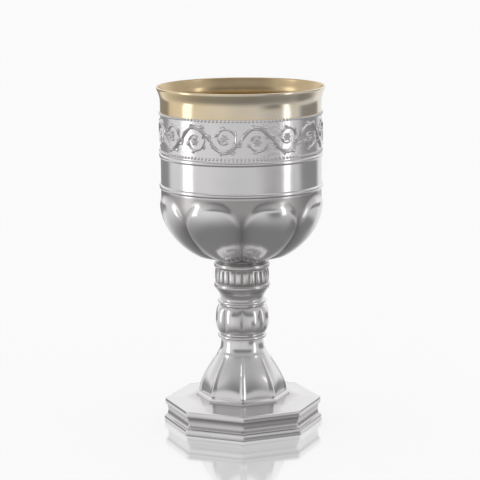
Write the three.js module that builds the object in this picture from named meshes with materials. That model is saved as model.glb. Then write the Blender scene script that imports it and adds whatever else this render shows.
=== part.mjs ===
// A silver chalice in the form of a goblet: a deep round bowl with petals under it, a collar,
// a stem with a lobed knop, and a hollow, many-sided foot with a bell that rises to the stem.
// Millimetres, +Z up. The origin is the middle of the underside that the chalice stands on.
// The front is towards -Y. A corner of the foot and a valley between two petals point there.

import * as THREE from "three";
import { mergeVertices } from "three/addons/utils/BufferGeometryUtils.js";

// How often the pattern repeats round the axis, and how finely each piece is faceted
const sides = 8;
const bowlStepsPerSide = 6;
const stemStepsPerSide = 5;
const footStepsPerSide = 4;
const curveSteps = 9;
const bellySteps = 12;
const petalTipSteps = 3;
const insideSteps = 9;
const lipSteps = 4;

// Foot: radii of the many-sided stretches reach to a corner
const footHeight = 33;
const footCornerRadius = 36;
const footWall = 1.1;
const restingWidth = 4.2;
const restingThickness = 1.2;
const baseBandHeight = 2.8;
const plinthHeight = 11;
const topBandHeight = 2.6;
const topBandInset = 0.5;
const coveDepth = 1.4;
const coveSlope = 0.7;
const plateRise = 1.4;
const bellRadius = 19.6;
const bellBeadWidth = 1.8;
const bellBeadHeight = 1.5;
const bellLowerPull = 7.4;
const bellUpperPull = 4.8;
const bellUpperSpread = 1.9;
const neckRadius = 11;
const neckCapThickness = 1.5;

// Stem and its knop
const stemHeight = 28;
const stemWaistRadius = 9.8;
const knopRadius = 12.5;
const knopHeight = 13;
const knopMiddle = 15.5;
const knopValleyDepth = 1.1;
const filletRadius = 11.1;
const filletHeight = 1.8;
const filletSpacing = 0.6;

// Collar between the stem and the bowl
const collarHeight = 13.5;
const collarLowerRadius = 11;
const collarRadius = 12.6;
const collarWaistRadius = 11.8;
const collarBeadHeight = 2.8;

// Bowl
const bowlHeight = 79.5;
const bowlRadius = 36;
const bowlWall = 0.9;
const bellyDepth = 28.8;
const seatStep = 0.7;
const lipFlare = 1.7;
const lipHeight = 8;
const ringRelief = 0.7;
const ringHeight = 2.2;
const friezeRingDrop = 30.6;
const lowerRingGap = 0.9;
const petalRelief = 1.4;
const petalRise = 4.2;
const petalShoulderDrop = 11;
const petalFade = 5;
const petalRoundness = 0.75;

// Colours of the polished silver, seen in the photograph as cool light grey
const silverColour = 0xc9c8c6;
const silverRoughness = 0.22;

// Heights and angles that follow from the sizes
const plateTop = plinthHeight + plateRise;
const bellFootHeight = plateTop + bellBeadHeight;
const cornerAngle = (2 * Math.PI) / sides;
const cornerStretch = 1 / Math.cos(cornerAngle / 2);

const point = (radius, height) => new THREE.Vector2(radius, height);

// Zero in the direction of a corner of the foot, and one midway between two corners.
function lobe(angle) {
  return Math.abs(Math.sin((sides / 2) * angle));
}

// The radius of a many-sided outline whose corners lie at a radius of one.
function manySided(angle) {
  const fromCorner = THREE.MathUtils.euclideanModulo(angle, cornerAngle);
  return Math.cos(cornerAngle / 2) / Math.cos(fromCorner - cornerAngle / 2);
}

// A half-round moulding on a wall of the given radius, as profile points from its foot to its top.
function bead(wallRadius, relief, middle, height) {
  const arc = [];
  const arcSteps = 4;
  for (let i = 0; i <= arcSteps; i++) {
    const turn = Math.PI * (i / arcSteps - 0.5);
    const out = relief * Math.cos(turn);
    arc.push(point(wallRadius + out, middle + (height / 2) * Math.sin(turn)));
  }
  return arc;
}

// A closed body turned from its profile, which starts and ends on the axis.
// Every point is then moved in or out by the given function of its radius, angle and height.
function turnedBody(profile, steps, radiusAt) {
  const lathe = new THREE.LatheGeometry(profile, steps);
  lathe.rotateX(Math.PI / 2);
  lathe.deleteAttribute("normal");
  lathe.deleteAttribute("uv");
  const body = mergeVertices(lathe);
  const places = body.attributes.position;
  const place = new THREE.Vector3();
  for (let i = 0; i < places.count; i++) {
    place.fromBufferAttribute(places, i);
    const radius = Math.hypot(place.x, place.y);
    if (radius > 0) {
      const angle = Math.atan2(place.y, place.x);
      const stretch = radiusAt(radius, angle, place.z) / radius;
      places.setXY(i, place.x * stretch, place.y * stretch);
    }
  }
  body.computeVertexNormals();
  return body;
}

// The bell's side, from the bead at its foot up to the neck. The inside is the same curve, moved in.
function bellCurve(inset) {
  const foot = point(bellRadius - inset, bellFootHeight);
  const neck = point(neckRadius - inset, footHeight);
  const lower = point(foot.x, foot.y + bellLowerPull);
  const upper = point(neck.x + bellUpperSpread, neck.y - bellUpperPull);
  return new THREE.CubicBezierCurve(foot, lower, upper, neck).getPoints(curveSteps);
}

// The foot is a shell that is open below, and rests on a flat ring turned in from its side.
function footGeometry() {
  const wall = footWall * cornerStretch;
  const coveRadius = footCornerRadius - coveDepth;
  const topBandRadius = footCornerRadius - topBandInset;
  const beadOutside = bellRadius + bellBeadWidth;
  const ringInside = footCornerRadius - restingWidth * cornerStretch;
  const capBottom = footHeight - neckCapThickness;
  const insideOfBell = bellCurve(wall).filter((p) => p.y < capBottom);
  const inside = [
    point(0, capBottom),
    point(neckRadius - wall, capBottom),
    ...insideOfBell.reverse(),
    point(beadOutside - wall, plateTop - footWall),
    point(coveRadius - wall, plinthHeight - footWall),
    point(coveRadius - wall, restingThickness),
    point(ringInside, restingThickness),
    point(ringInside, 0),
  ];
  const outside = [
    point(footCornerRadius, 0),
    point(footCornerRadius, baseBandHeight),
    point(coveRadius, baseBandHeight + coveSlope),
    point(coveRadius, plinthHeight - topBandHeight - coveSlope),
    point(topBandRadius, plinthHeight - topBandHeight),
    point(topBandRadius, plinthHeight),
    point(beadOutside, plateTop),
    point(beadOutside, bellFootHeight - bellBeadHeight / 2),
    ...bellCurve(0),
    point(0, footHeight),
  ];
  // The many-sided plan turns round between the plinth and the neck.
  const radiusAt = (radius, angle, height) => {
    const rounded = THREE.MathUtils.smoothstep(height, plateTop, footHeight);
    return radius * THREE.MathUtils.lerp(manySided(angle), 1, rounded);
  };
  return turnedBody([...inside, ...outside], sides * footStepsPerSide, radiusAt);
}

// The stem: a waist, a lobed knop between two fillets, and a second waist under the collar.
function stemGeometry() {
  const knopFoot = knopMiddle - knopHeight / 2;
  const knopTop = knopMiddle + knopHeight / 2;
  const filletRelief = filletRadius - stemWaistRadius;
  const fillet = (middle) => bead(stemWaistRadius, filletRelief, middle, filletHeight);
  const profile = [
    point(0, 0),
    point(neckRadius, 0),
    ...fillet(knopFoot - filletSpacing - filletHeight / 2),
    ...bead(stemWaistRadius, knopRadius - stemWaistRadius, knopMiddle, knopHeight),
    ...fillet(knopTop + filletSpacing + filletHeight / 2),
    point(collarLowerRadius, stemHeight),
    point(0, stemHeight),
  ];
  const radiusAt = (radius, angle, height) => {
    const fromMiddle = Math.abs(height - knopMiddle) / (knopHeight / 2);
    const share = Math.sqrt(Math.max(0, 1 - fromMiddle * fromMiddle));
    return radius - knopValleyDepth * share * (1 - lobe(angle));
  };
  return turnedBody(profile, sides * stemStepsPerSide, radiusAt);
}

// The collar: a waisted ring with a bead at each end, on which the bowl is seated.
function collarGeometry() {
  const relief = collarRadius - collarWaistRadius;
  const endBead = (middle) => bead(collarWaistRadius, relief, middle, collarBeadHeight);
  const profile = [
    point(0, 0),
    point(collarLowerRadius, 0),
    ...endBead(collarBeadHeight),
    ...endBead(collarHeight - collarBeadHeight / 2),
    point(0, collarHeight),
  ];
  const round = (radius) => radius;
  return turnedBody(profile, sides * stemStepsPerSide, round);
}

// Points of the bowl's rounded bottom, from the given radius out to the upright wall.
function bellyCurve(inset, fromRadius, steps) {
  const across = bowlRadius - inset;
  const deep = bellyDepth - inset;
  const start = Math.asin(fromRadius / across);
  const curve = [];
  for (let i = 0; i <= steps; i++) {
    const turn = THREE.MathUtils.lerp(start, Math.PI / 2, i / steps);
    curve.push(point(across * Math.sin(turn), bellyDepth - deep * Math.cos(turn)));
  }
  return curve;
}

// The bowl: an open vessel of even wall, flared a little at the lip, with two raised rings.
function bowlGeometry() {
  const seatRadius = collarWaistRadius - seatStep;
  const lipFoot = bowlHeight - lipHeight;
  const lipInset = bowlWall / 2;
  const flare = (inset) => {
    const from = point(bowlRadius - inset, lipFoot);
    const bend = point(bowlRadius - inset, lipFoot + lipHeight / 2);
    const to = point(bowlRadius + lipFlare - inset, bowlHeight - lipInset);
    return new THREE.QuadraticBezierCurve(from, bend, to).getPoints(lipSteps);
  };
  const ring = (middle) => bead(bowlRadius, ringRelief, middle, ringHeight);
  const petalTop = bellyDepth + petalRise;
  const petalTips = [];
  for (let i = 1; i <= petalTipSteps; i++) {
    petalTips.push(point(bowlRadius, bellyDepth + (petalRise * i) / petalTipSteps));
  }
  const profile = [
    point(0, 0),
    point(seatRadius, 0),
    ...bellyCurve(0, seatRadius, bellySteps),
    ...petalTips,
    ...ring(petalTop + lowerRingGap + ringHeight / 2),
    ...ring(bowlHeight - friezeRingDrop),
    ...flare(0),
    point(bowlRadius + lipFlare - lipInset, bowlHeight),
    ...flare(bowlWall).reverse(),
    ...bellyCurve(bowlWall, 0, insideSteps).reverse(),
  ];
  // Broad petals swell out of the belly and end in round tips under the lower ring.
  const radiusAt = (radius, angle, height) => {
    const onWall = bellyOutside(height);
    if (radius < onWall - bowlWall / 2) return radius;
    const side = 1 - lobe(angle);
    const tip = petalTop - petalShoulderDrop * side * side;
    const below = THREE.MathUtils.smoothstep(tip - height, 0, petalFade);
    const above = THREE.MathUtils.smoothstep(height, 0, petalFade);
    return radius + petalRelief * below * above * lobe(angle) ** petalRoundness;
  };
  return turnedBody(profile, sides * bowlStepsPerSide, radiusAt);
}

// The radius of the bowl's plain outside at a height above its seat, below the lip.
function bellyOutside(height) {
  const share = Math.min(1, (bellyDepth - height) / bellyDepth);
  return height < bellyDepth ? bowlRadius * Math.sqrt(1 - share * share) : bowlRadius;
}

function silver() {
  return new THREE.MeshStandardMaterial({
    color: silverColour,
    metalness: 1,
    roughness: silverRoughness,
  });
}

const pieces = [
  ["foot", footGeometry(), 0],
  ["stem", stemGeometry(), footHeight],
  ["collar", collarGeometry(), footHeight + stemHeight],
  ["bowl", bowlGeometry(), footHeight + stemHeight + collarHeight],
];

const chalice = new THREE.Group();
for (const [name, geometry, height] of pieces) {
  const piece = new THREE.Mesh(geometry, silver());
  piece.name = name;
  piece.position.z = height;
  chalice.add(piece);
}

export default chalice;
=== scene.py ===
import bpy
import math
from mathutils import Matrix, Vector


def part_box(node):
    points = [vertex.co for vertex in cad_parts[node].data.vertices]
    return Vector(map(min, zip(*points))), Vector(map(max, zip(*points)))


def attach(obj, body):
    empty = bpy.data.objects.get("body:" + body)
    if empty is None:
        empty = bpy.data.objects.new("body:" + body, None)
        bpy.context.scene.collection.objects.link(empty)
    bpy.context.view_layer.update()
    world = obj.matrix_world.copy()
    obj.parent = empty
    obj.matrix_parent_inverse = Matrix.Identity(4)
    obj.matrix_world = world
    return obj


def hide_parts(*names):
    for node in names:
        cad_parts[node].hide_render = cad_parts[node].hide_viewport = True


# A silver goblet chalice with a gilt inside and lip, on a pale studio floor.
# Sizes in the dictionaries are millimetres, turned to metres by mm.

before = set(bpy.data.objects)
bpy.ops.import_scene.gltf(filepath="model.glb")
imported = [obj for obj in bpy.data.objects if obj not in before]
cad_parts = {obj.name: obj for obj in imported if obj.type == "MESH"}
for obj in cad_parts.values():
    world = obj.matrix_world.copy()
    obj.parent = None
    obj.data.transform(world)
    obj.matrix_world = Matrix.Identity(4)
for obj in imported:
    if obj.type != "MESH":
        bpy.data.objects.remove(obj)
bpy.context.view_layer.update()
mm = 0.001
sides = 8  # corners of the foot, lobes of the knop, petals of the bowl
cornerAngle = 2 * math.pi / sides
print("frame loaded:", sorted(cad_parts))


def nodeFoot(node):
    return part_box(node)[0][2] / mm


def nodeTop(node):
    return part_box(node)[1][2] / mm


def nodeRadius(node):
    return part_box(node)[1][0] / mm


# Small tools used by every piece

def deselectAll():
    if bpy.context.object and bpy.context.object.mode != "OBJECT":
        bpy.ops.object.mode_set(mode="OBJECT")
    bpy.ops.object.select_all(action="DESELECT")


def pick(piece):
    deselectAll()
    piece.select_set(True)
    bpy.context.view_layer.objects.active = piece


def applyModifier(piece, modifier):
    pick(piece)
    bpy.ops.object.modifier_apply(modifier=modifier.name)


def smoothStep(value, low, high):
    share = min(1.0, max(0.0, (value - low) / (high - low)))
    return share * share * (3 - 2 * share)


def between(low, high, share):
    return low + (high - low) * share


def lobe(angle):
    return abs(math.sin(angle * sides / 2))  # 0 towards a corner of the foot, 1 midway


def drawPath(name, points):
    # a chain of edges, drawn by extruding one point after another
    deselectAll()
    bpy.ops.mesh.primitive_plane_add(size=mm)
    path = bpy.context.object
    path.name = name
    bpy.ops.object.mode_set(mode="EDIT")
    bpy.ops.mesh.merge(type="CENTER")
    bpy.ops.transform.translate(value=Vector(points[0]) * mm)
    for before, after in zip(points, points[1:]):
        step = (Vector(after) - Vector(before)) * mm
        bpy.ops.mesh.extrude_vertices_move(TRANSFORM_OT_translate={"value": step})
    bpy.ops.object.mode_set(mode="OBJECT")
    return path


def turnOutline(name, outline, steps):
    # the outline is (radius, height) pairs that start and end on the axis
    piece = drawPath(name, [(radius, 0, height) for radius, height in outline])
    turning = piece.modifiers.new("turning", "SCREW")
    turning.steps = steps
    turning.render_steps = steps
    turning.use_merge_vertices = True
    turning.merge_threshold = 0.001 * mm
    applyModifier(piece, turning)
    bpy.ops.object.mode_set(mode="EDIT")
    bpy.ops.mesh.select_all(action="SELECT")
    bpy.ops.mesh.remove_doubles(threshold=0.002 * mm)
    bpy.ops.mesh.normals_make_consistent(inside=False)
    bpy.ops.object.mode_set(mode="OBJECT")
    return piece


def halfRound(wallRadius, relief, middle, height, steps=10):
    arc = []
    for step in range(steps + 1):
        turn = math.pi * (step / steps - 0.5)
        arc.append((wallRadius + relief * math.cos(turn), middle + height / 2 * math.sin(turn)))
    return arc


def bezier(start, startPull, endPull, end, steps):
    curve = []
    for step in range(steps + 1):
        t = step / steps
        u = 1 - t
        weights = (u ** 3, 3 * u * u * t, 3 * u * t * t, t ** 3)
        corners = (start, startPull, endPull, end)
        curve.append(tuple(sum(w * c[i] for w, c in zip(weights, corners)) for i in (0, 1)))
    return curve


def swell(piece, relief, shareAt):
    # raises the surface along its normals, by relief times a share from 0 to 1
    group = piece.vertex_groups.new(name="swell")
    for vertex in piece.data.vertices:
        x, y, z = vertex.co / mm
        share = shareAt(math.hypot(x, y), math.atan2(y, x), z)
        group.add([vertex.index], share, "REPLACE")
    swelling = piece.modifiers.new("swelling", "DISPLACE")
    swelling.strength = relief * mm
    swelling.mid_level = 0
    swelling.vertex_group = group.name
    applyModifier(piece, swelling)
    piece.vertex_groups.remove(piece.vertex_groups["swell"])


def mark(piece, name, shareAt):
    # a share from 0 to 1 at each point, kept on the mesh for the materials to read:
    # the darkening share paints patina and painted shade in the recesses, under the belly and inside the
    # bowl,
    # "matting" is where the ground is punched, and "rubbed" where the gilding is worn thin
    marks = piece.data.attributes.new(name, "FLOAT", "POINT")
    for vertex in piece.data.vertices:
        x, y, z = vertex.co / mm
        share = shareAt(math.hypot(x, y), math.atan2(y, x), z)
        marks.data[vertex.index].value = min(1.0, max(0.0, share))


def softenEdges(piece, width, sharperThan=30):
    edges = piece.modifiers.new("edges", "BEVEL")
    edges.width = width * mm
    edges.segments = 2
    edges.limit_method = "ANGLE"
    edges.angle_limit = math.radians(sharperThan)
    applyModifier(piece, edges)


def copyRound(piece, count):
    # copies round the axis: each one is turned like the pivot from the one before
    deselectAll()
    bpy.ops.object.empty_add(location=(0, 0, 0), rotation=(0, 0, 2 * math.pi / count))
    pivot = bpy.context.object
    copies = piece.modifiers.new("copies", "ARRAY")
    copies.count = count
    copies.use_relative_offset = False
    copies.use_object_offset = True
    copies.offset_object = pivot
    applyModifier(piece, copies)
    bpy.data.objects.remove(pivot)


def joinPieces(name, parts):
    deselectAll()
    for part in parts:
        part.select_set(True)
    bpy.context.view_layer.objects.active = parts[0]
    bpy.ops.object.join()
    joined = bpy.context.object
    joined.name = name
    joined.data.name = name
    return joined


chaliceParts = []  # the names of the finished pieces, which the softboxes light


def finishPiece(piece, materials, node=None, smoothUnder=40):
    pick(piece)
    bpy.ops.object.transform_apply(location=True, rotation=True, scale=True)
    bpy.ops.object.shade_smooth_by_angle(angle=math.radians(smoothUnder))
    for material in materials:
        piece.data.materials.append(material)
    chaliceParts.append(piece.name)
    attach(piece, "root")
    if node:
        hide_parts(node)
    print("made", piece.name, len(piece.data.polygons), "faces")


# Materials

silverLook = {
    "colour": (0.82, 0.805, 0.81, 1),
    "under": (0.82, 0.805, 0.81, 1),
    "tarnishAndShade": (0.16, 0.145, 0.135, 1),
    "tarnishAmount": 0.1,
    "roughness": 0.13,
    "cloudScale": 38,
    "scratchScale": 900,
    "hammerScale": 90,
    "punchScale": 1100,
    "rubScale": 180,
    "reliefDepth": 0.05,
}
giltLook = {
    "colour": (0.87, 0.69, 0.42, 1),
    "under": (0.83, 0.80, 0.73, 1),
    "tarnishAndShade": (0.24, 0.15, 0.08, 1),
    "tarnishAmount": 0.2,
    "roughness": 0.12,
    "cloudScale": 45,
    "scratchScale": 900,
    "hammerScale": 90,
    "punchScale": 1100,
    "rubScale": 180,
    "reliefDepth": 0.05,
}


def groupSocket(group, name, direction, kind="NodeSocketFloat", value=None):
    socket = group.interface.new_socket(name=name, in_out=direction, socket_type=kind)
    if value is not None:
        socket.default_value = value


def makeWearGroup():
    # thin tarnish, hairlines, patina and painted shade in the recesses, hammered unevenness, punched ground
    # and plating that is rubbed thin, so that the metal under it shows
    group = bpy.data.node_groups.new("workedMetal", "ShaderNodeTree")
    groupSocket(group, "Colour", "INPUT", "NodeSocketColor")
    groupSocket(group, "Under", "INPUT", "NodeSocketColor")
    groupSocket(group, "TarnishAndShade", "INPUT", "NodeSocketColor")
    groupSocket(group, "Roughness", "INPUT", value=0.2)
    groupSocket(group, "Cloud Scale", "INPUT", value=40)
    groupSocket(group, "Scratch Scale", "INPUT", value=900)
    groupSocket(group, "Tarnish Amount", "INPUT", value=0.12)
    groupSocket(group, "Hammer Scale", "INPUT", value=90)
    groupSocket(group, "Punch Scale", "INPUT", value=1100)
    groupSocket(group, "Rub Scale", "INPUT", value=180)
    groupSocket(group, "Colour", "OUTPUT", "NodeSocketColor")
    groupSocket(group, "Roughness", "OUTPUT")
    groupSocket(group, "Height", "OUTPUT")
    nodes = group.nodes
    link = group.links.new
    given = nodes.new("NodeGroupInput")
    made = nodes.new("NodeGroupOutput")
    place = nodes.new("ShaderNodeTexCoord")

    def noise(vector, scale, detail):
        texture = nodes.new("ShaderNodeTexNoise")
        texture.inputs["Detail"].default_value = detail
        link(vector, texture.inputs["Vector"])
        link(given.outputs[scale], texture.inputs["Scale"])
        return texture.outputs["Fac"]

    def scaleAdd(value, factor, added=None):
        # value times factor, plus what is added
        total = nodes.new("ShaderNodeMath")
        total.operation = "MULTIPLY_ADD"
        link(value, total.inputs[0])
        if isinstance(factor, (int, float)):
            total.inputs[1].default_value = factor
        else:
            link(factor, total.inputs[1])
        total.inputs[2].default_value = 0
        if added:
            link(added, total.inputs[2])
        return total.outputs[0]

    clouds = nodes.new("ShaderNodeMapRange")
    clouds.inputs["From Min"].default_value = 0.42
    clouds.inputs["From Max"].default_value = 0.75
    link(noise(place.outputs["Object"], "Cloud Scale", 5), clouds.inputs["Value"])
    # the marked darkening is patina and painted shade, mixed into the tarnish colour together with the
    # clouds
    recess = nodes.new("ShaderNodeAttribute")
    recess.attribute_name = "patinaAndShade"
    ground = nodes.new("ShaderNodeAttribute")
    ground.attribute_name = "matting"
    tarnishAndShade = scaleAdd(clouds.outputs["Result"], given.outputs["Tarnish Amount"], recess.outputs["Fac"])

    def mixColour(share, first, second):
        mix = nodes.new("ShaderNodeMix")
        mix.data_type = "RGBA"
        link(share, mix.inputs["Factor"])
        link(first, mix.inputs["A"])
        link(second, mix.inputs["B"])
        return mix.outputs["Result"]

    rubbed = nodes.new("ShaderNodeAttribute")
    rubbed.attribute_name = "rubbed"
    patches = nodes.new("ShaderNodeMapRange")
    patches.inputs["From Min"].default_value = 0.3
    patches.inputs["From Max"].default_value = 0.7
    patches.inputs["To Min"].default_value = 0.6
    link(noise(place.outputs["Object"], "Rub Scale", 6), patches.inputs["Value"])
    bare = scaleAdd(patches.outputs["Result"], rubbed.outputs["Fac"])
    plated = mixColour(bare, given.outputs["Colour"], given.outputs["Under"])
    link(mixColour(tarnishAndShade, plated, given.outputs["TarnishAndShade"]), made.inputs["Colour"])

    # polishing lines run round the axis, so the pattern is squeezed along it
    stretch = nodes.new("ShaderNodeMapping")
    stretch.inputs["Scale"].default_value = (0.08, 0.08, 1)
    link(place.outputs["Object"], stretch.inputs["Vector"])
    hairlines = noise(stretch.outputs["Vector"], "Scratch Scale", 3)
    hammered = noise(place.outputs["Object"], "Hammer Scale", 1)
    punch = nodes.new("ShaderNodeTexVoronoi")
    link(place.outputs["Object"], punch.inputs["Vector"])
    link(given.outputs["Punch Scale"], punch.inputs["Scale"])
    height = scaleAdd(hairlines, 0.035)
    height = scaleAdd(hammered, 1.1, height)
    punched = scaleAdd(punch.outputs["Distance"], ground.outputs["Fac"])
    link(scaleAdd(punched, 0.7, height), made.inputs["Height"])

    roughness = scaleAdd(tarnishAndShade, 0.25, given.outputs["Roughness"])
    roughness = scaleAdd(ground.outputs["Fac"], 0.04, roughness)
    link(scaleAdd(hairlines, 0.05, roughness), made.inputs["Roughness"])
    return group


wearGroup = makeWearGroup()


def makeMetal(name, look):
    material = bpy.data.materials.new(name)
    material.use_nodes = True
    nodes = material.node_tree.nodes
    link = material.node_tree.links.new
    shader = nodes["Principled BSDF"]
    shader.inputs["Metallic"].default_value = 1
    wear = nodes.new("ShaderNodeGroup")
    wear.node_tree = wearGroup
    for socket, key in (("Colour", "colour"), ("Under", "under"), ("TarnishAndShade", "tarnishAndShade"),
                        ("Roughness", "roughness"), ("Rub Scale", "rubScale"),
                        ("Cloud Scale", "cloudScale"), ("Scratch Scale", "scratchScale"),
                        ("Tarnish Amount", "tarnishAmount"), ("Hammer Scale", "hammerScale"),
                        ("Punch Scale", "punchScale")):
        wear.inputs[socket].default_value = look[key]
    relief = nodes.new("ShaderNodeBump")
    relief.inputs["Strength"].default_value = 1
    relief.inputs["Distance"].default_value = look["reliefDepth"] * mm
    link(wear.outputs["Colour"], shader.inputs["Base Color"])
    link(wear.outputs["Roughness"], shader.inputs["Roughness"])
    link(wear.outputs["Height"], relief.inputs["Height"])
    link(relief.outputs["Normal"], shader.inputs["Normal"])
    return material


polishedSilver = makeMetal("polishedSilver", silverLook)
polishedGilt = makeMetal("polishedGilt", giltLook)
print("materials made")


# Bowl: raised from sheet, gilt inside and round the lip, with petals under the belly

bowlSizes = {
    "seat": nodeFoot("bowl"),
    "top": nodeTop("bowl"),
    "radius": nodeRadius("bowl") - 1.7,
    "wall": 0.9,
    "seatRadius": 11.1,
    "bellyDepth": 28.8,
    "lipFlare": 1.7,
    "lipHeight": 8,
    "gildedFrom": 142.9,
    # painted shade inside the bowl, patina and painted shade between the petals and under the belly, and a
    # slight darkening of the band and the frieze
    "insideShade": 0.28,
    "valleyPatinaAndShade": 0.55,
    "bandTone": 0.06,
    "friezeTone": 0.01,
    "rubbed": 0.5,
    "rubbedSwing": 1.5,
    "rubbedMost": 0.9,
    "rubbedSide": -15,
    "petalRise": 4.2,
    "petalRelief": 1.4,
    "petalShoulderDrop": 11,
    "petalFade": 5,
    "lowerRing": 109.5,
    "friezeRing": 123.4,
    "ringHeight": 2.2,
    "ringRelief": 0.7,
    "steps": 320,
}


friezeSizes = {
    "middle": 133.8,
    "waveHeight": 5.7,
    "vineRadius": 0.62,
    "scrollShrink": 0.8,
    "scrollTurns": 1.35,
    "hubDrop": 0.9,
    "depth": 0.7,
    "leafLength": 3.4,
    "leafWidth": 0.72,
    "rosettePetals": 6,
    "rosetteRadius": 1.75,
    "bossRadius": 0.62,
    "beadRadius": 0.68,
    "beadCount": 128,
    "upperBeads": 142.1,
    "lowerBeads": 125.5,
}


def bellyCurve(inset, fromRadius, steps):
    across = bowlSizes["radius"] - inset
    deep = bowlSizes["bellyDepth"] - inset
    bellyTop = bowlSizes["seat"] + bowlSizes["bellyDepth"]
    start = math.asin(fromRadius / across)
    curve = []
    for step in range(steps + 1):
        turn = between(start, math.pi / 2, step / steps)
        curve.append((across * math.sin(turn), bellyTop - deep * math.cos(turn)))
    return curve


def lipCurve(inset, steps=12):
    radius = bowlSizes["radius"] - inset
    foot = bowlSizes["top"] - bowlSizes["lipHeight"]
    end = bowlSizes["top"] - bowlSizes["wall"] / 2
    bend = foot + bowlSizes["lipHeight"] / 2
    lip = radius + bowlSizes["lipFlare"]
    return bezier((radius, foot), (radius, bend), (between(radius, lip, 0.35), bend), (lip, end), steps)


def bowlOutside(height):
    deep = bowlSizes["bellyDepth"]
    over = height - bowlSizes["seat"]
    if over >= deep:
        return bowlSizes["radius"]
    return bowlSizes["radius"] * math.sqrt(1 - min(1, (deep - over) / deep) ** 2)


def wallMiddle(height):
    # the radius midway through the wall, which tells the inside from the outside
    lip = max(0, 1 + (height - bowlSizes["top"]) / bowlSizes["lipHeight"])
    return bowlOutside(height) + bowlSizes["lipFlare"] * lip ** 2 - bowlSizes["wall"] / 2


def petalShare(radius, angle, height):
    if radius < wallMiddle(height):
        return 0
    side = 1 - lobe(angle)
    over = height - bowlSizes["seat"]
    tip = bowlSizes["bellyDepth"] + bowlSizes["petalRise"] - bowlSizes["petalShoulderDrop"] * side ** 2
    below = smoothStep(tip - over, 0, bowlSizes["petalFade"])
    above = smoothStep(over, 0.3, bowlSizes["petalFade"])
    return below * above * lobe(angle) ** 0.75


def bowlPatinaAndShade(radius, angle, height):
    # painted shade inside, patina and painted shade between and below the petals, a little darker on the
    # band and frieze
    if radius < wallMiddle(height):
        return bowlSizes["insideShade"]
    bellyTop = bowlSizes["seat"] + bowlSizes["bellyDepth"] + bowlSizes["petalRise"]
    if height < bellyTop:
        return bowlSizes["valleyPatinaAndShade"] * (1 - petalShare(radius, angle, height)) ** 2
    return bowlSizes["friezeTone" if height > bowlSizes["friezeRing"] else "bandTone"]


def friezeGround(radius, angle, height):
    if radius < wallMiddle(height):
        return 0
    low = smoothStep(height, friezeSizes["lowerBeads"] - 0.6, friezeSizes["lowerBeads"] + 0.4)
    high = smoothStep(height, friezeSizes["upperBeads"] + 0.6, friezeSizes["upperBeads"] - 0.4)
    return low * high


def gildingWear(radius, angle, height):
    # the outside of the lip is rubbed most on the side that is drunk from
    if radius < wallMiddle(height) or height < bowlSizes["gildedFrom"]:
        return 0
    fromSide = math.cos(angle - math.radians(bowlSizes["rubbedSide"]))
    return min(bowlSizes["rubbedMost"], bowlSizes["rubbed"] * (1 + bowlSizes["rubbedSwing"] * fromSide))


def makeBowl():
    seat = bowlSizes["seat"]
    radius = bowlSizes["radius"]
    petalTop = seat + bowlSizes["bellyDepth"] + bowlSizes["petalRise"]
    outline = [(0, seat), (bowlSizes["seatRadius"] - 0.3, seat)]
    outline += bellyCurve(0, bowlSizes["seatRadius"], 44)
    tipSteps = 8
    outline += [(radius, petalTop - bowlSizes["petalRise"] * (1 - step / tipSteps))
                for step in range(1, tipSteps + 1)]
    outline += halfRound(radius, bowlSizes["ringRelief"], bowlSizes["lowerRing"], bowlSizes["ringHeight"])
    outline += halfRound(radius, bowlSizes["ringRelief"], bowlSizes["friezeRing"], bowlSizes["ringHeight"])
    friezeFoot = bowlSizes["friezeRing"] + bowlSizes["ringHeight"] / 2
    lipFoot = bowlSizes["top"] - bowlSizes["lipHeight"]
    wallSteps = 32
    outline += [(radius, between(friezeFoot, lipFoot, step / wallSteps)) for step in range(1, wallSteps)]
    outline += lipCurve(0)
    edge = bowlSizes["wall"] / 2
    lip = radius + bowlSizes["lipFlare"] - edge
    for turn in (30, 60, 90, 120, 150):
        bend = math.radians(turn)
        outline.append((lip + edge * math.cos(bend), bowlSizes["top"] - edge + edge * math.sin(bend)))
    outline += lipCurve(bowlSizes["wall"])[::-1]
    outline += bellyCurve(bowlSizes["wall"], 0.01, 40)[::-1]
    outline[-1] = (0, outline[-1][1])
    bowl = turnOutline("chaliceBowl", outline, bowlSizes["steps"])
    swell(bowl, bowlSizes["petalRelief"], petalShare)
    mark(bowl, "patinaAndShade", bowlPatinaAndShade)
    mark(bowl, "matting", friezeGround)
    mark(bowl, "rubbed", gildingWear)
    finishPiece(bowl, [polishedSilver, polishedGilt], "bowl")
    for face in bowl.data.polygons:
        x, y, z = face.center / mm
        inside = math.hypot(x, y) < wallMiddle(z) and z > seat + 0.5
        if inside or z > bowlSizes["gildedFrom"]:
            face.material_index = 1
    return bowl


makeBowl()


# Frieze: a vine scroll in low relief round the upper wall, one wave to each side of the foot.
# The photograph shows no pattern, so the design and its place are a guess.

def drawStroke(name, points, radii, flatten):
    # a rounded stroke that swells and tapers, flattened against the wall
    path = drawPath(name, [(s, 0, z) for s, z in points])
    pick(path)
    bpy.ops.object.convert(target="CURVE")
    stroke = bpy.context.object
    stroke.data.bevel_depth = mm
    stroke.data.bevel_resolution = 1
    stroke.data.use_fill_caps = True
    spline = stroke.data.splines[0]
    along = zip(spline.points, radii)
    if (spline.points[0].co.xyz / mm - Vector((points[0][0], 0, points[0][1]))).length > 0.01:
        along = zip(spline.points, radii[::-1])
    for point, radius in along:
        point.radius = radius
    bpy.ops.object.convert(target="MESH")
    stroke = bpy.context.object
    bpy.ops.object.mode_set(mode="EDIT")
    bpy.ops.mesh.select_all(action="SELECT")
    bpy.ops.transform.resize(value=(1, flatten, 1), center_override=(0, 0, 0))
    bpy.ops.object.mode_set(mode="OBJECT")
    return stroke


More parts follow.
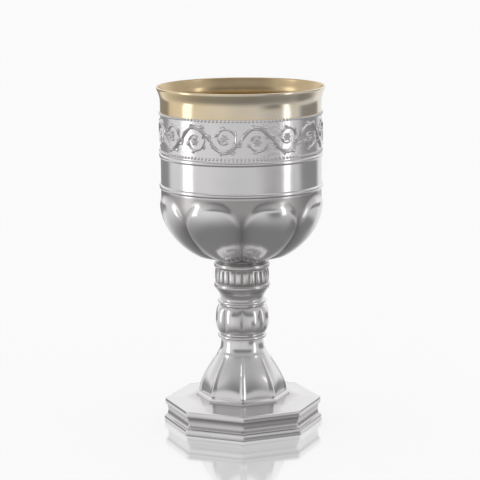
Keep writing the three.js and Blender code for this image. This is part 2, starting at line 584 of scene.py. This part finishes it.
def drawLeaf(foot, turn, length, width, curl, steps=8):
    # a leaf is a stroke that leaves its foot in the direction turn and curls as it goes
    points = [foot]
    heading = turn
    for step in range(steps):
        s, z = points[-1]
        points.append((s + length / steps * math.cos(heading), z + length / steps * math.sin(heading)))
        heading += curl / steps
    radii = [max(0.06, width * math.sin(math.pi * (0.1 + 0.9 * step / steps)) ** 0.8)
             for step in range(steps + 1)]
    return drawStroke("leaf", points, radii, friezeSizes["depth"] / width)


def growLeaves(stroke, shares, side, size=1):
    # pairs of leaves spring from one side of a stroke and bend back along it
    leaves = []
    for share in shares:
        index = int(share * (len(stroke) - 2))
        (s, z), (nextS, nextZ) = stroke[index], stroke[index + 1]
        heading = math.atan2(nextZ - z, nextS - s)
        length = friezeSizes["leafLength"] * size
        width = friezeSizes["leafWidth"] * size
        leaves.append(drawLeaf((s, z), heading + side * 0.75, length, width, -side * 0.9))
        leaves.append(drawLeaf((nextS, nextZ), heading + side * 1.5, length * 0.62, width * 0.8,
                               -side * 0.7, 6))
    return leaves


def drawRosette(s, z):
    petals = friezeSizes["rosettePetals"]
    parts = []
    for petal in range(petals):
        bend = 2 * math.pi * petal / petals
        foot = (s + 0.3 * math.cos(bend), z + 0.3 * math.sin(bend))
        parts.append(drawLeaf(foot, bend, friezeSizes["rosetteRadius"], 0.55, 0, 6))
    deselectAll()
    bpy.ops.mesh.primitive_uv_sphere_add(segments=10, ring_count=6, radius=friezeSizes["bossRadius"] * mm,
                                         location=(s * mm, 0, z * mm))
    boss = bpy.context.object
    bpy.ops.object.transform_apply(location=True)
    parts.append(boss)
    return parts


def wrapRound(piece, radius):
    # the bend tool needs a window, so the flat ornament is bent round the bowl point by point
    for vertex in piece.data.vertices:
        s, depth, z = vertex.co / mm
        angle = s / radius - math.pi / 2
        out = radius - depth
        vertex.co = Vector((out * math.cos(angle), out * math.sin(angle), z)) * mm


def makeFrieze():
    radius = bowlSizes["radius"]
    wave = cornerAngle * radius
    middle = friezeSizes["middle"]
    high = friezeSizes["waveHeight"]
    vine = friezeSizes["vineRadius"]
    flatten = friezeSizes["depth"] / vine
    parts = []
    count = 48
    overlap = 0.01  # each wave's vine starts and ends inside its neighbours
    shares = [between(-overlap, 1 + overlap, step / count) for step in range(count + 1)]
    main = [(wave * share, middle + high * math.sin(2 * math.pi * share)) for share in shares]
    parts.append(drawStroke("vine", main, [vine] * (count + 1), flatten))
    for half in (0, 1):
        up = 1 - 2 * half  # the second half of the wave is the first, turned upside down
        hubS = wave * (0.25 + 0.5 * half)
        hubZ = middle - up * friezeSizes["hubDrop"]
        scroll = []
        widths = []
        scrollSteps = 48
        for step in range(scrollSteps + 1):
            turns = friezeSizes["scrollTurns"] * step / scrollSteps
            reach = wave / 4 * math.exp(-friezeSizes["scrollShrink"] * turns)
            bend = math.pi - 2 * math.pi * turns
            scroll.append((hubS + reach * math.cos(bend), hubZ + up * reach * math.sin(bend)))
            widths.append(between(vine, vine * 0.65, step / scrollSteps))
        parts.append(drawStroke("scroll", scroll, widths, flatten))
        parts += drawRosette(hubS, hubZ)
        parts += growLeaves(scroll, (0.42, 0.56, 0.7), up, 0.8)
        parts += growLeaves(scroll, (0.3, 0.8), -up, 0.6)
        parts += growLeaves(main, (0.06 + 0.5 * half, 0.19 + 0.5 * half), up, 0.75)
        parts += growLeaves(main, (0.33 + 0.5 * half, 0.45 + 0.5 * half), up, 1)
    frieze = joinPieces("vineFrieze", parts)
    wrapRound(frieze, radius)
    copyRound(frieze, sides)
    finishPiece(frieze, [polishedSilver], smoothUnder=60)


def makeBeadRow(name, radius, height, beadRadius, count):
    deselectAll()
    bpy.ops.mesh.primitive_uv_sphere_add(segments=8, ring_count=6, radius=beadRadius * mm,
                                         location=(0, -radius * mm, height * mm))
    row = bpy.context.object
    bpy.ops.object.transform_apply(location=True)
    copyRound(row, count)
    row.name = name
    return row


def makeFriezeBeads():
    wall = bowlSizes["radius"]
    bead = friezeSizes["beadRadius"]
    count = friezeSizes["beadCount"]
    rows = [makeBeadRow("beads", wall, friezeSizes[place], bead, count)
            for place in ("upperBeads", "lowerBeads")]
    beads = joinPieces("friezeBeads", rows)
    finishPiece(beads, [polishedSilver], smoothUnder=80)


makeFrieze()
makeFriezeBeads()


# Collar: a cast ring of narrow gadroons between two plain beads

collarSizes = {
    "foot": nodeFoot("collar"),
    "top": nodeTop("collar"),
    "lowerRadius": 11,
    "waistRadius": 11.8,
    "radius": nodeRadius("collar"),
    "beadHeight": 2.8,
    "gadroons": 24,
    "gadroonRelief": 0.55,
    "steps": 192,
}


def gadroonShare(radius, angle, height):
    low = collarSizes["foot"] + collarSizes["beadHeight"] * 1.5
    high = collarSizes["top"] - collarSizes["beadHeight"]
    if radius < collarSizes["waistRadius"] - 0.5 or not low < height < high:
        return 0
    ends = math.sin(math.pi * (height - low) / (high - low)) ** 0.5
    return ends * abs(math.sin(angle * collarSizes["gadroons"] / 2)) ** 0.7


def collarPatinaAndShade(radius, angle, height):
    # patina and painted shade, darkest between the gadroons and lighter over the beads
    low = collarSizes["foot"] + collarSizes["beadHeight"] * 1.5
    high = collarSizes["top"] - collarSizes["beadHeight"]
    if low < height < high:
        return 0.9 * (1 - gadroonShare(radius, angle, height))
    return 0.3


def makeCollar():
    foot = collarSizes["foot"]
    top = collarSizes["top"]
    waist = collarSizes["waistRadius"]
    relief = collarSizes["radius"] - waist
    beadHeight = collarSizes["beadHeight"]
    outline = [(0, foot), (collarSizes["lowerRadius"], foot)]
    outline += halfRound(waist, relief, foot + beadHeight, beadHeight)
    low = foot + beadHeight * 1.5
    high = top - beadHeight
    rows = 14
    outline += [(waist, between(low, high, row / rows)) for row in range(1, rows)]
    outline += halfRound(waist, relief, top - beadHeight / 2, beadHeight)
    outline.append((0, top))
    collar = turnOutline("chaliceCollar", outline, collarSizes["steps"])
    swell(collar, collarSizes["gadroonRelief"], gadroonShare)
    mark(collar, "patinaAndShade", collarPatinaAndShade)
    finishPiece(collar, [polishedSilver], "collar")


makeCollar()


# Stem: two waists and a lobed knop between fillets

stemSizes = {
    "foot": nodeFoot("stem"),
    "top": nodeTop("stem"),
    "neckRadius": 11,
    "waistRadius": 9.8,
    "knopRadius": 12.5,
    "knopHeight": 13,
    "knopMiddle": nodeFoot("stem") + 15.5,
    "knopValleyDepth": 1.1,
    "filletRadius": 11.1,
    "filletHeight": 1.8,
    "filletSpacing": 0.6,
    "steps": 160,
}


def knopShare(radius, angle, height):
    reach = abs(height - stemSizes["knopMiddle"]) / (stemSizes["knopHeight"] / 2)
    if reach >= 1 or radius < stemSizes["waistRadius"] - 1:
        return 0
    return math.sqrt(1 - reach * reach) * (1 - lobe(angle) ** 0.7)


def stemPatinaAndShade(radius, angle, height):
    # patina and painted shade in the knop's valleys and beside the fillets
    reach = abs(height - stemSizes["knopMiddle"]) / (stemSizes["knopHeight"] / 2)
    if reach < 1:
        return 0.45 * knopShare(radius, angle, height)
    return 0.2 if reach < 1.12 else 0.03


def makeStem():
    foot = stemSizes["foot"]
    top = stemSizes["top"]
    waist = stemSizes["waistRadius"]
    middle = stemSizes["knopMiddle"]
    halfKnop = stemSizes["knopHeight"] / 2
    halfFillet = stemSizes["filletHeight"] / 2
    reach = halfKnop + stemSizes["filletSpacing"] + halfFillet
    relief = stemSizes["filletRadius"] - waist
    lower = middle - reach
    upper = middle + reach
    outline = [(0, foot), (stemSizes["neckRadius"], foot)]
    outline += bezier((stemSizes["neckRadius"], foot), (waist - 0.2, foot + 1.5),
                      (waist - 0.2, lower - 2.2), (waist, lower - halfFillet), 8)[1:-1]
    outline += halfRound(waist, relief, lower, stemSizes["filletHeight"])
    outline += halfRound(waist, stemSizes["knopRadius"] - waist, middle, stemSizes["knopHeight"], 28)
    outline += halfRound(waist, relief, upper, stemSizes["filletHeight"])
    outline += bezier((waist, upper + halfFillet), (waist - 0.1, upper + 1.6),
                      (collarSizes["lowerRadius"] - 0.7, top - 1), (collarSizes["lowerRadius"], top), 8)[1:]
    outline.append((0, top))
    stem = turnOutline("chaliceStem", outline, stemSizes["steps"])
    swell(stem, -stemSizes["knopValleyDepth"], knopShare)
    mark(stem, "patinaAndShade", stemPatinaAndShade)
    finishPiece(stem, [polishedSilver], "stem")


makeStem()


# Foot: an eight-sided stepped shell, open below, with a bell that turns round as it rises

footSizes = {
    "height": nodeTop("foot"),
    "cornerRadius": nodeRadius("foot"),
    "wall": 1.1,
    "restingWidth": 4.2,
    "restingThickness": 1.2,
    "baseBand": 2.8,
    "plinth": 11,
    "topBand": 2.6,
    "topBandInset": 0.5,
    "coveDepth": 1.4,
    "coveSlope": 0.7,
    "plateRise": 1.4,
    "bellRadius": 19.6,
    "bellBeadWidth": 1.8,
    "bellBeadHeight": 1.5,
    "bellLowerPull": 7.4,
    "bellUpperPull": 4.8,
    "bellUpperSpread": 1.9,
    "neckRadius": stemSizes["neckRadius"],
    "neckCap": 1.5,
    "ribRelief": 0.45,
    "ribWidth": 0.9,
    "edge": 0.2,
    "steps": 192,
}


def bellCurve(inset):
    low = footSizes["plinth"] + footSizes["plateRise"] + footSizes["bellBeadHeight"]
    high = footSizes["height"]
    wide = footSizes["bellRadius"] - inset
    narrow = footSizes["neckRadius"] - inset
    return bezier((wide, low), (wide, low + footSizes["bellLowerPull"]),
                  (narrow + footSizes["bellUpperSpread"], high - footSizes["bellUpperPull"]),
                  (narrow, high), 32)


def shapePlan(piece):
    # the plan is eight-sided up to the plate and turns round on the way up the bell
    plateTop = footSizes["plinth"] + footSizes["plateRise"]
    for vertex in piece.data.vertices:
        x, y, z = vertex.co
        fromCorner = math.atan2(y, x) % cornerAngle
        straight = math.cos(cornerAngle / 2) / math.cos(fromCorner - cornerAngle / 2)
        rounded = smoothStep(z / mm, plateTop, footSizes["height"])
        stretch = between(straight, 1, rounded)
        vertex.co = Vector((x * stretch, y * stretch, z))


def ribShare(radius, angle, height):
    low = footSizes["plinth"] + footSizes["plateRise"] + footSizes["bellBeadHeight"]
    if height < low or radius < footSizes["neckRadius"] - 0.6:
        return 0
    fromCorner = angle % cornerAngle
    across = min(fromCorner, cornerAngle - fromCorner) * radius
    fade = 1 - smoothStep(height, footSizes["height"] - 4, footSizes["height"] - 0.5)
    return fade * max(0, 1 - (across / footSizes["ribWidth"]) ** 2)


def footPatinaAndShade(radius, angle, height):
    # patina and painted shade in the cove and on the plate round the foot of the bell
    if height < footSizes["plinth"] - footSizes["topBand"] and height > footSizes["baseBand"]:
        return 0.25
    if radius < footSizes["bellRadius"] + 3 and height < footSizes["plinth"] + footSizes["plateRise"] + 1:
        return 0.3
    return 0.04


def makeFoot():
    stretch = 1 / math.cos(cornerAngle / 2)
    wall = footSizes["wall"] * stretch
    corner = footSizes["cornerRadius"]
    cove = corner - footSizes["coveDepth"]
    topBand = corner - footSizes["topBandInset"]
    plinth = footSizes["plinth"]
    plateTop = plinth + footSizes["plateRise"]
    bead = footSizes["bellRadius"] + footSizes["bellBeadWidth"]
    ringInside = corner - footSizes["restingWidth"] * stretch
    capBottom = footSizes["height"] - footSizes["neckCap"]
    bandFoot = plinth - footSizes["topBand"]
    coveFoot = footSizes["baseBand"] + footSizes["coveSlope"]
    coveTop = bandFoot - footSizes["coveSlope"]
    outline = [(0, capBottom), (footSizes["neckRadius"] - wall, capBottom)]
    outline += [spot for spot in bellCurve(wall)[::-1] if spot[1] < capBottom]
    outline += [
        (bead - wall, plateTop - footSizes["wall"]),
        (cove - wall, plinth - footSizes["wall"]),
        (cove - wall, footSizes["restingThickness"]),
        (ringInside, footSizes["restingThickness"]),
        (ringInside, 0),
        (corner, 0),
        (corner, footSizes["baseBand"]),
        (cove + 0.35, footSizes["baseBand"] + 0.25),
        (cove, coveFoot),
        (cove - 0.35, (coveFoot + coveTop) / 2),
        (cove, coveTop),
        (cove + 0.25, bandFoot - 0.2),
        (topBand, bandFoot),
        (topBand, plinth),
        (between(topBand, bead, 0.12), plinth + 0.05),
        (between(topBand, bead, 0.6), between(plinth, plateTop, 0.45)),
        (bead + 0.6, plateTop - 0.05),
    ]
    outline += [(bead, plateTop), (bead, plateTop + footSizes["bellBeadHeight"] / 2)]
    outline += bellCurve(0)
    outline.append((0, footSizes["height"]))
    foot = turnOutline("chaliceFoot", outline, footSizes["steps"])
    shapePlan(foot)
    swell(foot, footSizes["ribRelief"], ribShare)
    softenEdges(foot, footSizes["edge"])
    mark(foot, "patinaAndShade", footPatinaAndShade)
    finishPiece(foot, [polishedSilver], "foot", smoothUnder=50)


makeFoot()


# Studio: a pale glossy floor in a grey room, with a soft light on each side and one above.
# The greys of the room are tuned so that the metal's tones come near the photograph's.

studio = {
    "floorSize": 9,
    "floorColour": (0.5, 0.5, 0.5, 1),
    "floorGlow": 0.54,
    "floorGloss": 0.55,
    "floorLight": 1.05,
    "backdrop": 0.955,
    "frontGrey": 0.69,
    "highFrontGrey": 0.23,
    "leftGrey": 0.78,
    "rightGrey": 0.66,
    "behindGrey": 0.9,
    "leftFlagGrey": 0.3,
    "rightFlagGrey": 0.26,
    "lowFlagGrey": 0.2,
    "backWhite": 0.98,
    "topGrey": 0.5,
    "lowGrey": 0.24,
    "leftLightPower": 0.7,
    "rightLightPower": 0.42,
    "topLightPower": 3,
}


def makeFloor():
    deselectAll()
    bpy.ops.mesh.primitive_plane_add(size=studio["floorSize"])
    floor = bpy.context.object
    floor.name = "studioFloor"
    floor.visible_glossy = False
    material = bpy.data.materials.new("paleFloor")
    material.use_nodes = True
    nodes = material.node_tree.nodes
    link = material.node_tree.links.new
    matte = nodes["Principled BSDF"]
    matte.inputs["Base Color"].default_value = studio["floorColour"]
    matte.inputs["Roughness"].default_value = 0.9
    matte.inputs["Specular IOR Level"].default_value = 0
    matte.inputs["Emission Color"].default_value = (1, 1, 1, 1)
    matte.inputs["Emission Strength"].default_value = studio["floorGlow"]
    gloss = nodes.new("ShaderNodeBsdfGlossy")
    gloss.inputs["Color"].default_value = (1, 1, 1, 1)
    gloss.inputs["Roughness"].default_value = 0.08
    both = nodes.new("ShaderNodeMixShader")
    both.inputs[0].default_value = studio["floorGloss"]
    link(matte.outputs[0], both.inputs[1])
    link(gloss.outputs[0], both.inputs[2])
    link(both.outputs[0], nodes["Material Output"].inputs["Surface"])
    floor.data.materials.append(material)


def makeRoom():
    # what the metal mirrors changes with the direction; the backdrop and the floor's light are even
    world = bpy.data.worlds.new("studioRoom")
    bpy.context.scene.world = world
    world.use_nodes = True
    nodes = world.node_tree.nodes
    link = world.node_tree.links.new
    place = nodes.new("ShaderNodeTexCoord")
    direction = nodes.new("ShaderNodeSeparateXYZ")
    link(place.outputs["Generated"], direction.inputs[0])

    def blend(level, share, target):
        mix = nodes.new("ShaderNodeMix")
        link(share, mix.inputs["Factor"])
        if level is None:
            mix.inputs["A"].default_value = studio["frontGrey"]
        else:
            link(level, mix.inputs["A"])
        mix.inputs["B"].default_value = target
        return mix.outputs["Result"]

    def both(first, second):
        product = nodes.new("ShaderNodeMath")
        product.operation = "MULTIPLY"
        link(first, product.inputs[0])
        link(second, product.inputs[1])
        return product.outputs[0]

    def towards(axis, start, full):
        ramp = nodes.new("ShaderNodeMapRange")
        ramp.interpolation_type = "SMOOTHSTEP"
        ramp.inputs["From Min"].default_value = start
        ramp.inputs["From Max"].default_value = full
        link(direction.outputs[axis], ramp.inputs["Value"])
        return ramp.outputs["Result"]

    level = blend(None, towards("X", -0.1, -0.8), studio["leftGrey"])
    level = blend(level, towards("X", 0.15, 0.75), studio["rightGrey"])
    level = blend(level, towards("Y", 0.55, 0.75), studio["behindGrey"])
    high = both(towards("Y", -0.45, -0.75), towards("Z", 0.05, 0.2))
    level = blend(level, high, studio["highFrontGrey"])
    rightFlag = both(towards("X", 0.55, 0.7), towards("Y", -0.05, 0.15))
    level = blend(level, both(rightFlag, towards("Z", -0.36, -0.46)), studio["rightFlagGrey"])
    rightFlag = both(rightFlag, both(towards("Z", -0.22, -0.17), towards("Z", 0.1, 0.02)))
    level = blend(level, rightFlag, studio["rightFlagGrey"])
    leftFlag = both(both(towards("X", 0, -0.25), towards("Y", 0.48, 0.62)), towards("Z", -0.28, -0.22))
    level = blend(level, leftFlag, studio["leftFlagGrey"])
    level = blend(level, towards("Z", 0.2, 0.8), studio["topGrey"])
    level = blend(level, towards("Z", -0.22, -0.75), studio["lowGrey"])
    lowRight = both(both(towards("X", 0.35, 0.68), towards("X", 1, 0.74)), towards("Y", -0.1, -0.6))
    lowRight = both(lowRight, both(towards("Z", -0.08, -0.27), towards("Z", -0.56, -0.28)))
    level = blend(level, lowRight, studio["lowFlagGrey"])
    level = blend(level, both(towards("Y", 0.4, 0.7), towards("Z", -0.06, 0.04)), studio["backWhite"])
    ray = nodes.new("ShaderNodeLightPath")
    level = blend(level, ray.outputs["Is Diffuse Ray"], studio["floorLight"])
    level = blend(level, ray.outputs["Is Camera Ray"], studio["backdrop"])
    link(level, nodes["Background"].inputs["Color"])


def gatherLit():
    # the softboxes light the chalice alone, so that the floor stays even from every side
    lit = bpy.data.collections.new("litPieces")
    for name in chaliceParts:
        lit.objects.link(bpy.data.objects[name])
    return lit


def addSoftbox(name, place, target, width, height, power):
    # mirrored by the metal only, and no view looks into a lamp
    deselectAll()
    bpy.ops.object.light_add(type="AREA", location=place)
    light = bpy.context.object
    light.name = name
    light.data.shape = "RECTANGLE"
    light.data.size = width
    light.data.size_y = height
    light.data.energy = power
    light.visible_diffuse = False
    light.visible_camera = False
    light.light_linking.receiver_collection = litPieces
    light.rotation_euler = (Vector(target) - Vector(place)).to_track_quat("-Z", "Y").to_euler()


makeFloor()
makeRoom()
litPieces = gatherLit()
aim = (0, 0, 0.1)
addSoftbox("leftSoftbox", (-0.86, -0.14, 0.15), aim, 0.24, 0.7, studio["leftLightPower"])
addSoftbox("rightSoftbox", (0.8, -0.34, 0.15), aim, 0.15, 0.7, studio["rightLightPower"])
addSoftbox("topSoftbox", (0, 0.1, 1.3), aim, 1.4, 1.4, studio["topLightPower"])
print("studio lit")


# Camera: a little above the lip, as the photograph looks at the chalice

cameraSetting = {
    "distance": 0.86,
    "height": 0.241,
    "pitchDown": 10.34,
    "roll": -0.455,
    "sideStep": -0.0008,
    "focalPixels": 1937,
    "framePixels": 480,
}


def makeCamera():
    deselectAll()
    place = (cameraSetting["sideStep"], -cameraSetting["distance"], cameraSetting["height"])
    bpy.ops.object.camera_add(location=place)
    camera = bpy.context.object
    camera.rotation_euler = (math.radians(90 - cameraSetting["pitchDown"]), 0, 0)
    camera.rotation_euler.rotate_axis("Z", math.radians(cameraSetting["roll"]))
    camera.data.sensor_width = 36
    camera.data.lens = 36 * cameraSetting["focalPixels"] / cameraSetting["framePixels"]
    bpy.context.scene.camera = camera


makeCamera()
bpy.context.scene.view_settings.view_transform = "Standard"
